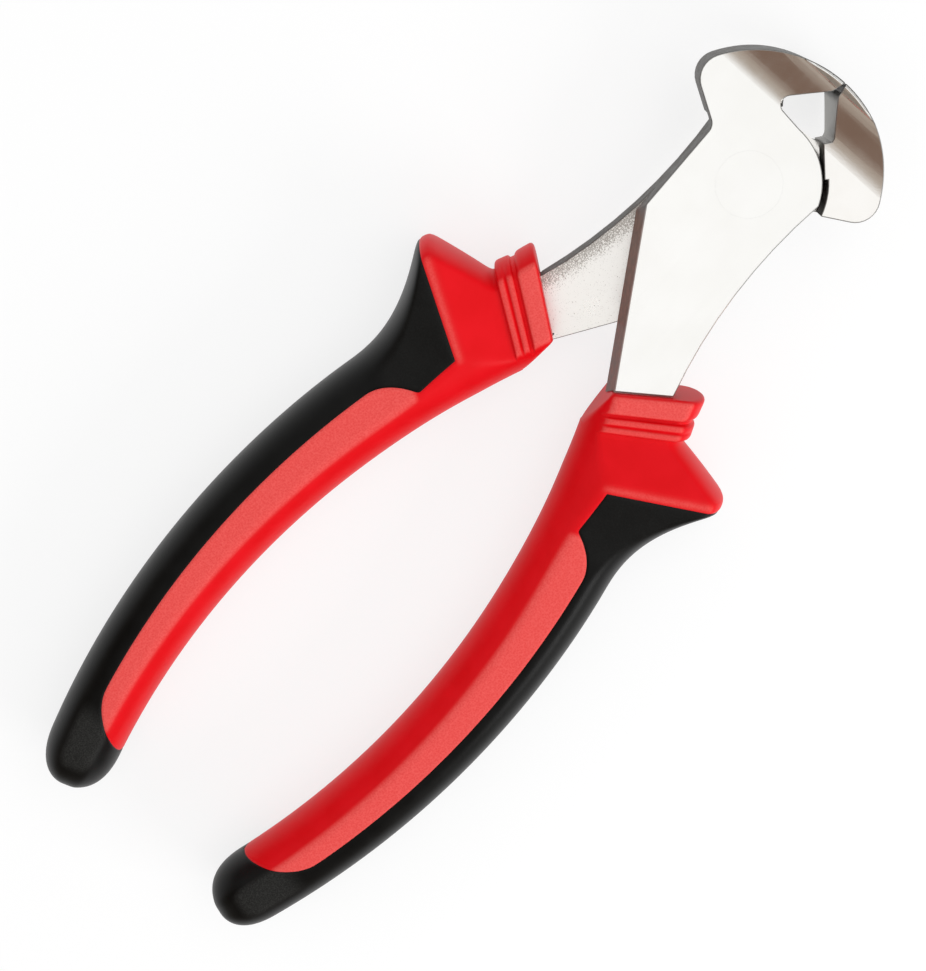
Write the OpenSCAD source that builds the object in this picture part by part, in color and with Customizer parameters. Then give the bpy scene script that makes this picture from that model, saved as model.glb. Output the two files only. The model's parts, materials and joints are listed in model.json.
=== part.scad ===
// End cutting nippers: two forged halves that cross at one flush rivet, each with a curved grip.
// The tool lies on its back on the plane z = 0, jaws towards +Y, with the origin under its middle.

/* [Head] */
// Distance from the pivot to the cutting edge
head_len = 22.2; // [18:0.1:28]
// Width of the jaws across the joint, which the finger guards match so that the tool lies flat
head_w = 20.4; // [17:0.1:25]
// Radius of the round end of the closed jaws
rim_r = 21; // [18:0.1:25]
// Distance of each jaw's rounded shoulder from the long axis
lobe_x = 14.6; // [12:0.1:16]
// Distance of each jaw's rounded shoulder ahead of the pivot
lobe_y = 9.9; // [8:0.1:11]
// Slope of the jaw's underside
underside_angle = 30; // [20:1:40]
// Where the flare of the jaws starts, ahead of the pivot
flare_y = 12.3; // [10.5:0.1:14]
// Slope with which the flare starts
flare_angle = 10; // [4:1:16]
// Radius of the hollow flare that widens the jaws
flare_r = 17.5; // [14:0.1:24]
// Gap that is left between the closed cutting edges
edge_gap = 0.1; // [0.05:0.01:0.2]
// Depth of the cutting lands where the closed jaws meet
edge_land_len = 2.3; // [1:0.1:3]
// Width to which the gap between the lands opens at the throat
land_open_w = 1.2; // [0.4:0.1:1.6]
// Distance from the long axis to each lower corner of the throat
throat_x = 3.8; // [3:0.1:5]
// Distance from the pivot to the lower corners of the throat
throat_y = 13.9; // [13.2:0.1:15]
// Corner radius of the throat
throat_r = 1.5; // [1:0.1:2]

/* [Joint] */
// Radius of the round lap of each half
lap_r = 12; // [10:0.1:13]
// Thickness of each lap and arm
lap_t = 6.2; // [5:0.1:7.5]
// Running gap between the two laps
lap_gap = 0.1; // [0.05:0.01:0.2]
// Gap between a lap and the shoulder of the other jaw
shoulder_gap = 0.3; // [0.2:0.05:0.6]
// Gap between a lap and the hollow arc below that shoulder
ring_gap = 0.9; // [0.6:0.05:1.2]
// Slope of that shoulder
shoulder_angle = 45; // [40:1:50]
// Half width of the joint at its waist
waist_x = 10.3; // [9.5:0.1:11]
// Distance from the waist to the pivot
waist_y = 6; // [4:0.1:8]
// Half width of the joint at the notch
notch_x = 10.9; // [10.4:0.1:11.5]
// Fillet radius in the notch
notch_r = 2; // [1:0.1:3]
// Distance from the long axis to the heel, where the arm's inner edge begins
heel_x = 9.4; // [8:0.1:10]
// Distance from the pivot back to the heel
heel_y = 15; // [13:0.1:18]
// How much wider the arm's inner side is at the parting plane than at its outer face
draft_w = 1.1; // [0.5:0.1:1.6]
// Diameter of the rivet
rivet_d = 8; // [6:0.1:9.5]
// Diameter of the rivet's countersunk ends
rivet_head_d = 11; // [10:0.1:13]
// Depth of the rivet's countersunk ends
rivet_head_t = 1.4; // [1:0.1:2]
// Running clearance round the rivet
rivet_clear = 0.04; // [0.02:0.01:0.08]

/* [Handle] */
// Radius of the handle's curve
bend_r = 157; // [135:1:190]
// Distance from the long axis to the middle of each handle where they stand widest apart
spread_w = 26; // [22:0.1:32]
// Distance from the pivot to that widest place
belly_y = 104; // [90:0.5:125]
// Turn of the curve from the widest place up to the collar
collar_turn = 25.2; // [22:0.1:28]
// Extra lean of the collar and guard against the curve
collar_lean = 11.3; // [6:0.1:15]
// Width of the arm on its inner side of the handle's middle, at the collar
arm_in_w = 5.3; // [4:0.1:6]
// Width of the arm on its outer side of the handle's middle, at the collar
arm_out_w = 4.6; // [4:0.1:6]
// Gap between the arm's full thickness and the collar
mouth_gap = 0.3; // [0.2:0.05:0.6]
// Length of the arm's root inside the collar
root_len = 10; // [7:0.1:13]
// Step down from the arm's outer face to its root
root_step_h = 0.8; // [0.5:0.1:1.2]
// Width of the tang inside the grip
tang_w = 6.8; // [5.5:0.1:8]
// Thickness of the tang
tang_t = 5.2; // [4:0.1:6]
// Length of the tang behind the collar's mouth
tang_len = 78; // [60:1:95]
// Clearance between the steel and the moulded core
tang_clear = 0.08; // [0.04:0.01:0.15]

/* [Grip] */
// Length of a grip along its curve
grip_len = 121.8; // [105:0.1:145]
// Depth of a grip from front to back
grip_depth = 18; // [15:0.1:21]
// Wall of the collar over the arm
collar_wall_t = 1; // [0.6:0.1:2]
// Reach of the collar on the outer side
collar_w = 8.8; // [8:0.1:11]
// Width of the band round the mouth
band_w = 3.6; // [2.5:0.1:4.5]
// Width of the ridge behind the band
ridge_w = 2.9; // [2:0.1:4]
// Width of the grooves beside the ridge
groove_w = 0.5; // [0.3:0.1:1]
// Height of the band and the ridge on the front and back
ridge_h = 0.8; // [0.4:0.1:1.2]
// Height of the band and the ridge on the outer side
ridge_side_h = 1.3; // [0.6:0.1:2]
// How much further the band reaches at the mouth, on the outer side
band_lip_w = 0.5; // [0.2:0.1:1]
// Length of the flank from the collar up to the finger guard
flank_len = 7.9; // [6:0.1:10]
// Width of the guard's crest
crest_w = 2; // [1.2:0.1:3]
// Reach of the finger guard
guard_w = 19.3; // [16:0.1:22]
// Length of the hollow behind the guard
hollow_len = 17.6; // [14:0.1:22]
// Reach of the grip on its inner side, at the guard
inner_w = 8.75; // [8:0.05:10]
// Reach of the grip on its outer side, behind the hollow
outer_w = 7.7; // [7:0.1:9]
// Reach of the grip to either side, near its end
tip_w = 6.4; // [5.6:0.1:7.5]
// Length of the rounded end
tip_len = 9.2; // [7:0.1:12]
// Reach of the rounding along the outer side of the collar and the guard
collar_round_w = 3.2; // [2:0.1:5]
// Reach of the rounding along the outer side behind the guard
round_w = 5; // [3:0.1:5.5]
// Offset of the inner bevel's middle from the handle's middle
bevel_w = 2; // [1:0.1:3]
// How far the inner bevel would rise past the deepest face
bevel_h = 0.25; // [0.1:0.05:0.6]
// Wall of the mouth beside the arm's inner edge
mouth_lip_t = 0.2; // [0.1:0.05:1]
// Length of the mouth's slanted inner side
mouth_len = 6.6; // [4:0.1:8]

/* [Cover] */
// Lap of the cover over the edge of the guard's crest
crest_lap_len = 0.4; // [0.2:0.1:0.8]
// Thickness of the soft cover over the core
cover_t = 2.2; // [1.4:0.1:3]
// Offset of the cover's edge at the guard
edge_guard_w = 0.7; // [0:0.1:1.5]
// Offset of the cover's lower corner
edge_corner_w = 2.4; // [1.5:0.1:3.5]
// Length of the cover's wide part behind the guard
edge_wide_len = 7.8; // [5:0.1:10]
// Length of the curve up to the inlaid panel
edge_rise_len = 8; // [5:0.1:11]
// Offset of the cover's edge along the panel, at its head
edge_head_w = 2.35; // [1.5:0.05:3]
// Offset of the cover's edge along the panel, at its end
edge_foot_w = 0.6; // [0.2:0.1:2]
// Length of the panel's slanted end
edge_end_len = 10.7; // [8:0.1:14]
// Width over which the corner of the panel's end is rounded
edge_end_round_w = 3; // [1:0.1:5]
// Length of the cover past the panel's slanted end
cap_len = 7; // [5:0.1:10]

/* [Hidden] */
$fn = 96;
steel = "#d8d4cf";
red = "#dc2228";
black = "#242422";
overrun = 1;
half_w = head_w / 2;

// Steps along the curves
arc_steps = 24;
small_steps = 8;
flank_steps = 3;
hollow_steps = 8;
body_steps = 12;
edge_steps = 6;
edge_end_steps = 14;

// Curve exponents, which have no size of their own
guard_power = 2.6;
hollow_power = 1.3;
edge_power = 1.8;
tip_power = 2.5;
ridge_power = 6;

// Places of the grip's sections along a ridge and along the rounded end
ridge_shares = [0, 0.05, 0.2, 0.8, 0.95, 1];
tip_shares = [0.25, 0.45, 0.62, 0.76, 0.87, 0.95, 0.99];

function mix(a, b, u) = a + (b - a) * u;
function clamp(u) = min(max(u, 0), 1);
function ease(u) = let (v = clamp(u)) v * v * (3 - 2 * v);
function soft_min(a, b, w) = let (h = max(w - abs(a - b), 0) / w) min(a, b) - h * h * w / 4;
function polar(r, a) = r * [cos(a), sin(a)];
function heading(v) = atan2(v.y, v.x);
function meet(p, u, q, v) = p + u * cross(q - p, v) / cross(u, v);
function arc(c, r, from, to, steps) = [for (k = [0:steps]) c + polar(r, mix(from, to, k / steps))];

// Rounds the hollow corner q between the edges that leave it along the unit directions a and b
function fillet(q, a, b, r) =
    let (mid = (a + b) / norm(a + b))
    let (half = acos(a * mid))
    let (turn = 90 - half)
    arc(q + mid * r / sin(half), r, heading(-mid) + turn, heading(-mid) - turn, small_steps);

// The handle's curve: stations run along it from the collar's mouth, offsets across it, outwards
bend_c = [spread_w - bend_r, -belly_y];
lean_start_len = 20.6;
lean_len = 30;
function bend_angle(s) = collar_turn - s / bend_r * 180 / PI;
function lean(s) = collar_lean * (1 - ease((s - lean_start_len) / lean_len));
function place(s, n) = bend_c + polar(bend_r, bend_angle(s)) + polar(n, bend_angle(s) + lean(s));

// Stations of the grip's features
neck_s = band_w + groove_w + ridge_w + groove_w;
guard_s = neck_s + flank_len;
hollow_start_s = guard_s + crest_w;
cover_s = hollow_start_s - crest_lap_len;
hollow_s = hollow_start_s + hollow_len;
tip_s = grip_len - tip_len;
inlay_s = cover_s + edge_wide_len;
panel_s = inlay_s + edge_rise_len;
panel_end_s = grip_len - cap_len;
panel_foot_s = panel_end_s - edge_end_len - edge_end_round_w;

// Depth and reach of the grip at a station
neck_depth = lap_t + collar_wall_t;
mouth_w = arm_in_w + mouth_lip_t;
body_depth = grip_depth / 2;
bevel_depth = max(half_w, body_depth, neck_depth + ridge_h) + bevel_h;
function pillow(u) = u <= 0 || u >= 1 ? 0 : pow(1 - pow(abs(2 * u - 1), ridge_power), 1 / 2);
function ridges(s) = max(pillow(s / band_w), pillow((s - band_w - groove_w) / ridge_w));
function band_lip(s) = band_lip_w * clamp(1 - s / band_w);
function past_guard(s) = pow(1 - clamp((s - hollow_start_s) / hollow_len), guard_power);
function flank(s) = clamp((s - neck_s) / flank_len);
function depth_at(s) = s < hollow_start_s
    ? mix(neck_depth, half_w, flank(s)) + ridge_h * ridges(s)
    : mix(body_depth, half_w, past_guard(s));
function outer_body(s) = mix(outer_w, tip_w, clamp((s - hollow_s) / (tip_s - hollow_s)));
function outer_at(s) = s < hollow_start_s
    ? mix(collar_w, guard_w, flank(s)) + ridge_side_h * ridges(s) + band_lip(s)
    : mix(outer_body(s), guard_w, past_guard(s));
function round_at(s) = s < hollow_start_s ? collar_round_w : mix(round_w, collar_round_w, past_guard(s));
function inner_at(s) = mix(inner_w, tip_w, clamp((s - guard_s) / (tip_s - guard_s)));
function tip_share(s) = pow(1 - pow(clamp((s - tip_s) / tip_len), tip_power), 1 / tip_power);

// One section of the grip as offsets and heights: an inner bevel, two flat faces and a rounded outer side
function section(s) =
    let (size = tip_share(s))
    let (h = depth_at(s) * size)
    let (b = bevel_depth * size)
    let (m = bevel_w * size)
    let (wi = inner_at(s) * size)
    let (ro = round_at(s) * size)
    let (fo = outer_at(s) * size - ro)
    let (t = asin(h / b))
    let (bevel = [for (k = [0:small_steps]) mix(t, -t, k / small_steps)])
    let (round = [for (k = [0:small_steps]) mix(-90, 90, k / small_steps)])
    concat([for (u = bevel) [m - (m + wi) * cos(u), b * sin(u)]],
           [for (u = round) [fo + ro * cos(u), h * sin(u)]]);

stations = concat(
    [for (k = ridge_shares) band_w * k],
    [for (k = ridge_shares) band_w + groove_w + ridge_w * k],
    [for (k = [0:flank_steps]) mix(neck_s, guard_s, k / flank_steps)],
    [hollow_start_s],
    [for (k = [1:hollow_steps]) hollow_start_s + hollow_len * pow(k / hollow_steps, hollow_power)],
    [for (k = [1:body_steps]) mix(hollow_s, tip_s, k / body_steps)],
    [for (k = tip_shares) tip_s + tip_len * k]);
rings = [for (s = stations) [for (p = section(s)) let (q = place(s, p[0])) [q.x, q.y, p[1]]]];

// The tool's middle lies half way between the cutting edge and the ends of the grips
back_y = min([for (ring = rings) for (p = ring) p.y]);
middle_y = (head_len + back_y) / 2;

module on_bench() translate([0, -middle_y, half_w]) children();
module turned_over() rotate([0, 180, 0]) children();

module between(z0, z1) translate([0, 0, z0]) linear_extrude(z1 - z0) children();

// Sweeps a bar of the given width and thickness along the handle's curve
module curved_bar(from_s, to_s, in_n, out_n, thickness)
    translate(bend_c)
        rotate(bend_angle(to_s))
            rotate_extrude(angle = bend_angle(from_s) - bend_angle(to_s))
                translate([bend_r - in_n, -thickness / 2])
                    square([in_n + out_n, thickness]);

// Outline of the forged halves, worked out for the half whose jaw is on the left
rim_c = [0, head_len - rim_r];
lobe_c = [-lobe_x, lobe_y];
lobe_r = rim_r - norm(lobe_c - rim_c);
lobe_angle = heading(lobe_c - rim_c);
under_dir = polar(1, 180 - underside_angle);
under_angle = 270 - underside_angle;
lobe_foot = lobe_c + polar(lobe_r, under_angle);
notch = [-notch_x, lobe_foot.y - (-notch_x - lobe_foot.x) * tan(underside_angle)];
heel = [-heel_x, -heel_y];
edge_x = -edge_gap / 2;
edge_rim = rim_c + [edge_x, sqrt(rim_r * rim_r - edge_x * edge_x)];
edge_root = [-land_open_w / 2, head_len - edge_land_len];
throat_c = [-throat_x, throat_y];
throat_span = norm(edge_root - throat_c);
throat_angle = heading(edge_root - throat_c) + acos(throat_r / throat_span);

// The arm ends just short of the collar, and its stepped root goes on into it from well inside the arm
arm_end_out = place(-mouth_gap, arm_out_w);
arm_end_in = place(-mouth_gap, -arm_in_w);
root_out = place(root_len, arm_out_w);
root_in = place(root_len, -tang_w / 2);
root_start_s = -root_len / 2;

// The waist is hollowed by an arc that is upright beside the joint and runs on to the arm's end
waist_run = [arm_end_out.x - waist_x, arm_end_out.y + waist_y];
waist_r = (waist_run * waist_run) / (2 * waist_run.x);
waist_c = [waist_x + waist_r, -waist_y];
waist_d = norm(waist_c);
lap_turn = acos((waist_d * waist_d + lap_r * lap_r - waist_r * waist_r) / (2 * waist_d * lap_r));
lap_end = heading(waist_c) + lap_turn;
function waist_angle(y) = 180 + asin((waist_c.y - y) / waist_r);

// The arm's inner edge, and the same edge at the parting plane, where the draft makes the arm wider:
// there it runs on past the mouth to the mouth's slanted inner side
arm_edge = arm_end_in - heel;
mouth_side = place(mouth_len, -inner_w) - place(0, -mouth_w);
arm_end_side = place(-mouth_gap, -mouth_w);
heel_low = heel + polar(draft_w, heading(arm_edge) - 90);
arm_end_low = meet(heel_low, arm_edge, arm_end_side, mouth_side);

function jaw_rim() = concat(arc(rim_c, rim_r, heading(edge_rim - rim_c), lobe_angle, arc_steps),
                            arc(lobe_c, lobe_r, lobe_angle, under_angle, small_steps));
function throat_wall(from) =
    concat(arc(throat_c, throat_r, from, throat_angle, small_steps), [edge_root, edge_rim]);

module lap_and_jaw_plan()
    polygon(concat(jaw_rim(),
                   fillet(notch, under_dir, (heel - notch) / norm(heel - notch), notch_r),
                   [heel_low, arm_end_low, arm_end_side, arm_end_out],
                   arc(waist_c, waist_r, waist_angle(arm_end_out.y), waist_angle(lap_r * sin(lap_end)),
                       small_steps),
                   arc([0, 0], lap_r, lap_end, 90, arc_steps),
                   throat_wall(270)));

// The other side of the jaw is cleared for the other half's round lap: a flat shoulder beside the throat,
// then a hollow arc
module jaw_plan()
    difference() {
        polygon(concat(jaw_rim(), [lobe_foot - under_dir * lap_r, edge_root - [0, lap_r]],
                       throat_wall(180)));
        rotate(shoulder_angle) {
            translate([-overrun, -rim_r])
                square([2 * rim_r, rim_r + lap_r + shoulder_gap]);
            intersection() {
                circle(lap_r + ring_gap);
                translate([-2 * rim_r, -rim_r])
                    square([2 * rim_r, 2 * rim_r]);
            }
        }
    }

// Side view that the whole head keeps to: flat laps, then the hollow flare up to the full width
module head_profile() {
    translate([-2 * belly_y, -lap_t])
        square([2 * belly_y + flare_y, 2 * lap_t]);
    difference() {
        translate([flare_y, -half_w])
            square([head_len - flare_y + overrun, head_w]);
        for (side = [-1, 1])
            translate([flare_y - flare_r * sin(flare_angle), side * (lap_t + flare_r * cos(flare_angle))])
                circle(flare_r);
    }
}

// Leans the arm's inner side, so that it is widest at the parting plane
module draft_cut()
    translate([heel.x, heel.y, lap_t])
        rotate(heading(arm_edge))
            rotate([-atan(draft_w / lap_t), 0, 0])
                translate([-lap_r, -lap_r, -2 * lap_t])
                    cube([norm(arm_edge) + 2 * lap_r, lap_r, 3 * lap_t]);

module rivet_shape(clear) {
    cylinder(d = rivet_d + 2 * clear, h = 2 * lap_t, center = true);
    for (side = [0, 180])
        rotate([side, 0, 0])
            translate([0, 0, lap_t - rivet_head_t])
                cylinder(d1 = rivet_d + 2 * clear, d2 = rivet_head_d + 2 * clear, h = rivet_head_t);
}

module half() {
    difference() {
        intersection() {
            union() {
                between(lap_gap / 2, half_w) lap_and_jaw_plan();
                between(-half_w, lap_t) jaw_plan();
            }
            rotate([90, 0, 90])
                linear_extrude(2 * head_w + 2 * spread_w, center = true)
                    head_profile();
        }
        rivet_shape(rivet_clear);
        draft_cut();
    }
    between(lap_gap / 2, lap_t - root_step_h)
        polygon([arm_end_in, root_in, root_out, arm_end_out,
                 place(root_start_s, tang_w / 2), place(root_start_s, -tang_w / 2)]);
    curved_bar(root_len / 2, tang_len, tang_w / 2, tang_w / 2, tang_t);
}

module front_half() color(steel) on_bench() half();
module back_half() color(steel) on_bench() turned_over() half();
module pivot_rivet() color(steel) on_bench() rivet_shape(0);

// The grip's full outer shape, as a loft through its sections
module grip_blank() {
    n = len(rings[0]);
    last = len(rings) - 1;
    sides = [for (i = [0:last - 1]) for (j = [0:n - 1])
        let (a = i * n + j, b = i * n + (j + 1) % n)
            each [[a, b, b + n], [a, b + n, a + n]]];
    mouth_end = [for (j = [n - 1:-1:0]) j];
    back_end = [for (j = [0:n - 1]) last * n + j];
    polyhedron(points = [for (ring = rings) each ring], faces = concat([mouth_end], sides, [back_end]));
}

// Edge of the soft cover on the front and back faces: behind the guard, along the panel and its slanted end
function cover_edge(s) =
    s < inlay_s ? mix(-edge_guard_w, -edge_corner_w, (s - cover_s) / edge_wide_len) :
    s < panel_s ? mix(-edge_corner_w, edge_head_w, 1 - pow(1 - (s - inlay_s) / edge_rise_len, edge_power)) :
    let (along = mix(edge_head_w, edge_foot_w, (s - panel_s) / (panel_end_s - panel_s)))
    let (slant = mix(-inner_w, edge_foot_w, (panel_end_s - s) / edge_end_len))
    soft_min(along, slant, edge_end_round_w);

module cover_zone() {
    far = 2 * guard_w;
    edge_s = concat([cover_s, inlay_s],
                    [for (k = [1:edge_steps]) inlay_s + edge_rise_len * k / edge_steps],
                    [for (k = [1:edge_steps]) mix(panel_s, panel_foot_s, k / edge_steps)],
                    [for (k = [1:edge_end_steps])
                        mix(panel_foot_s, panel_end_s, k / edge_end_steps)]);
    between(-head_w, head_w)
        polygon(concat([place(cover_s, far)],
                       [for (s = edge_s) place(s, cover_edge(s))],
                       [place(grip_len + tip_len, -inner_w), place(grip_len + tip_len, far)]));
}

// What the cover is moulded over: the core's slimmer bar under it, up to the panel's slanted end
module core_bar()
    curved_bar(guard_s, panel_end_s - edge_end_len, tang_w / 2 + cover_t / 2, tip_w - cover_t,
               grip_depth - 2 * cover_t);

// Room for the arm's root and the tang, and the slanted inner side of the collar's mouth
module tang_pocket() {
    c = tang_clear;
    between(lap_gap / 2 - c, lap_t - root_step_h + c)
        polygon([place(-overrun, -arm_in_w - c), place(root_len + c, -tang_w / 2 - c),
                 place(root_len + c, arm_out_w + c), place(-overrun, arm_out_w + c)]);
    curved_bar(root_len / 2 - c, tang_len + c, tang_w / 2 + c, tang_w / 2 + c, tang_t + 2 * c);
    slant = (inner_w - mouth_w) / mouth_len;
    between(-head_w, head_w)
        polygon([place(-overrun, -mouth_w + slant * overrun), place(mouth_len, -inner_w),
                 place(mouth_len, -2 * inner_w), place(-overrun, -2 * inner_w)]);
}

module grip_core()
    difference() {
        grip_blank();
        difference() {
            cover_zone();
            core_bar();
        }
        tang_pocket();
    }

module grip_cover()
    difference() {
        intersection() {
            grip_blank();
            cover_zone();
        }
        core_bar();
    }

module right_grip_core() color(red) on_bench() grip_core();
module right_grip_cover() color(black) on_bench() grip_cover();
module left_grip_core() color(red) on_bench() turned_over() grip_core();
module left_grip_cover() color(black) on_bench() turned_over() grip_cover();

front_half();
back_half();
pivot_rivet();
right_grip_core();
right_grip_cover();
left_grip_core();
left_grip_cover();
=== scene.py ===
import json
from math import cos, pi, radians, sin

import bmesh
import bpy
import numpy as np
from mathutils import Matrix, Vector


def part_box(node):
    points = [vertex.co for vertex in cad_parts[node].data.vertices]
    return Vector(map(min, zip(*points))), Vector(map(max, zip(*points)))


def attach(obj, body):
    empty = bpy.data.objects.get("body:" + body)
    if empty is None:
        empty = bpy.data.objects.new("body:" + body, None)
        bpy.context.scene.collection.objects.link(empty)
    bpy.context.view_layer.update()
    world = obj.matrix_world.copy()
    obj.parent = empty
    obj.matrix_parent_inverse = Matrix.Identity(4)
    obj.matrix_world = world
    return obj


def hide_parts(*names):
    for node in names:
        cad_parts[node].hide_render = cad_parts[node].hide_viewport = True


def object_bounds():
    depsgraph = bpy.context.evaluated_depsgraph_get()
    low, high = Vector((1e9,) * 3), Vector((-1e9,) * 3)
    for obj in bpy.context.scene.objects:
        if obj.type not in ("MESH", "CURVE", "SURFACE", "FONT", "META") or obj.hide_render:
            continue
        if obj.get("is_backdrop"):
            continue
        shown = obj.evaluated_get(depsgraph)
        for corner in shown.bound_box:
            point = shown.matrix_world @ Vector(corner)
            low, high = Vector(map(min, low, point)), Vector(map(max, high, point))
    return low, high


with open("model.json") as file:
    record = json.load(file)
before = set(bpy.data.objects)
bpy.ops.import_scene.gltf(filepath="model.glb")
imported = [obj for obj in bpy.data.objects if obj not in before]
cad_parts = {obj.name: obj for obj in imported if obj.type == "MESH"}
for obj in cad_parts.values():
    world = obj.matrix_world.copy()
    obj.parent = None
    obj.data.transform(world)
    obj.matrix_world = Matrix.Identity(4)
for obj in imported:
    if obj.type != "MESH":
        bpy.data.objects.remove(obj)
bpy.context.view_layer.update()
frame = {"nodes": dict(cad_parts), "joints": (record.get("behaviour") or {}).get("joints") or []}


# FRONT HALF
# The forging on the viewer's side: left jaw, round joint lap and the arm of the right grip, in tool steel.
# It is drop forged, its flat faces and flared jaw are ground and polished, and its sides keep a darker,
# rougher forged skin, whose brown on the head is also a painted reflection and painted shade. Its sharp edges
# are broken by hand.
mm = 0.001
pivot = Vector(frame["joints"][0]["pos_m"])
rivet_hole_r, hole_margin = 5.54 * mm, 0.1 * mm
edge_break, edge_segments, edge_turn = 0.18 * mm, 2, radians(25)
throat_half_w, throat_low_y, throat_high_y, lap_depth = 7.0 * mm, 6.0 * mm, 18.0 * mm, 5.9 * mm
tang_y, root_y, root_edge = -38.5 * mm, -31.0 * mm, 2.0 * mm
merge_gap, sliver, flat_turn = 0.002 * mm, 0.004 * mm, radians(0.4)
wall_slope, broken_skin = 0.5, 0.75


def eased_forging(node, name):
    """The node's solid as one merged mesh with its walls' edges broken.

    Edges round the rivet, down the throat and at the hidden root of the tang are left as they are.
    """
    solid = frame["nodes"][node].data
    mesh = bpy.data.meshes.new(name)
    mesh.from_pydata([v.co for v in solid.vertices], [], [list(p.vertices) for p in solid.polygons])
    bm = bmesh.new()
    bm.from_mesh(mesh)
    bmesh.ops.remove_doubles(bm, verts=bm.verts, dist=merge_gap)
    bmesh.ops.dissolve_degenerate(bm, dist=sliver, edges=bm.edges)
    bmesh.ops.dissolve_limit(bm, angle_limit=flat_turn, verts=bm.verts, edges=bm.edges)
    weight = bm.edges.layers.float.new("bevel_weight_edge")
    for edge in bm.edges:
        if len(edge.link_faces) != 2 or edge.calc_face_angle(0) < edge_turn:
            continue
        run = edge.verts[1].co - edge.verts[0].co
        middle = (edge.verts[0].co + edge.verts[1].co) / 2 - pivot
        beside_wall = any(abs(face.normal.z) < wall_slope for face in edge.link_faces)
        at_rivet = middle.xy.length <= rivet_hole_r + hole_margin
        at_tang = middle.y < tang_y or (middle.y < root_y and run.length < root_edge)
        down_throat = (abs(middle.x) < throat_half_w and throat_low_y < middle.y < throat_high_y
                       and abs(middle.z) < lap_depth)
        if down_throat:
            edge.smooth = abs(run.z) > 0.9 * run.length
        elif beside_wall and not at_rivet and not at_tang:
            edge[weight] = 1.0
        else:
            edge.smooth = False
    for face in bm.faces:
        face.smooth = True
    bm.to_mesh(mesh)
    bm.free()
    mesh.materials.append(None)
    mesh.materials.append(None)
    piece = bpy.data.objects.new(name, mesh)
    bpy.context.scene.collection.objects.link(piece)
    broken = piece.modifiers.new("broken edges", "BEVEL")
    broken.limit_method = "WEIGHT"
    broken.width = edge_break
    broken.segments = edge_segments
    broken.material = 1
    broken.use_clamp_overlap = False
    flat = piece.modifiers.new("large faces stay flat", "WEIGHTED_NORMAL")
    flat.mode = "FACE_AREA"
    flat.weight = 90
    flat.keep_sharp = True
    finished = bpy.data.meshes.new_from_object(piece.evaluated_get(bpy.context.evaluated_depsgraph_get()))
    piece.modifiers.clear()
    piece.data = finished
    finished.name = name
    side = finished.attributes.new("forged_side", "FLOAT", "FACE")
    side.data.foreach_set("value", [1.0 if abs(p.normal.z) < wall_slope else broken_skin * p.material_index
                                    for p in finished.polygons])
    finished.polygons.foreach_set("material_index", [0] * len(finished.polygons))
    return piece


class Wiring:
    """Short hand for the nodes of one tree: node(type, input=value or socket, ...)."""

    def __init__(self, tree):
        self.tree = tree

    def node(self, kind, settings=None, **inputs):
        made = self.tree.nodes.new(kind)
        for key, value in (settings or {}).items():
            setattr(made, key, value)
        for key, value in inputs.items():
            by_number = key[0] == "i" and key[1:].isdigit()
            self.feed(made.inputs[int(key[1:]) if by_number else key.replace("_", " ")], value)
        return made

    def feed(self, socket, value):
        if isinstance(value, bpy.types.NodeSocket):
            self.tree.links.new(value, socket)
        else:
            socket.default_value = value

    def math(self, operation, *values):
        made = self.node("ShaderNodeMath", {"operation": operation})
        for socket, value in zip(made.inputs, values):
            self.feed(socket, value)
        return made.outputs[0]

    def blend(self, share, a, b):
        made = self.node("ShaderNodeMix", {"data_type": "RGBA"})
        for socket, value in ((0, share), (6, a), (7, b)):
            self.feed(made.inputs[socket], value)
        return made.outputs[2]

    def steps(self, value, low, high, to_low=0.0, to_high=1.0):
        made = self.node("ShaderNodeMapRange", {"interpolation_type": "SMOOTHSTEP"})
        for socket, number in enumerate((value, low, high, to_low, to_high)):
            self.feed(made.inputs[socket], number)
        return made.outputs[0]


def new_group(name, inputs, outputs):
    """An empty shader group with named inputs and outputs."""
    group = bpy.data.node_groups.new(name, "ShaderNodeTree")
    for label, kind in inputs:
        group.interface.new_socket(label, in_out="INPUT", socket_type=kind)
    for label, kind in outputs:
        group.interface.new_socket(label, in_out="OUTPUT", socket_type=kind)
    wire = Wiring(group)
    return group, wire, wire.node("NodeGroupInput"), wire.node("NodeGroupOutput")


def new_material(name):
    """A material with its shader, its object coordinates and its wiring."""
    material = bpy.data.materials.new(name)
    material.use_nodes = True
    tree = material.node_tree
    wire = Wiring(tree)
    shader = tree.nodes["Principled BSDF"]
    place = wire.node("ShaderNodeTexCoord").outputs["Object"]
    return material, wire, shader, place


# Ground steel: fine streaks along the tool and soft clouds left by the polishing wheel
ground_steel, wire, given, result = new_group(
    "Ground Steel",
    [("Vector", "NodeSocketVector"), ("Streaks", "NodeSocketFloat"), ("Clouds", "NodeSocketFloat")],
    [("Streak", "NodeSocketFloat"), ("Cloud", "NodeSocketFloat"), ("Height", "NodeSocketFloat")])
long_way = wire.node("ShaderNodeMapping", Vector=given.outputs["Vector"], Scale=(1.0, 0.06, 1.0))
streak = wire.node("ShaderNodeTexNoise", Vector=long_way.outputs[0], Scale=given.outputs["Streaks"],
                   Detail=4.0, Roughness=0.6)
cloud = wire.node("ShaderNodeTexNoise", Vector=given.outputs["Vector"], Scale=given.outputs["Clouds"],
                  Detail=3.0, Roughness=0.55)
fine = wire.node("ShaderNodeTexNoise", Vector=given.outputs["Vector"], Scale=2600.0, Detail=2.0)
wire.feed(result.inputs["Streak"], streak.outputs[0])
wire.feed(result.inputs["Cloud"], cloud.outputs[0])
wire.feed(result.inputs["Height"], wire.math("MULTIPLY_ADD", streak.outputs[0], 0.7, fine.outputs[0]))

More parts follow.
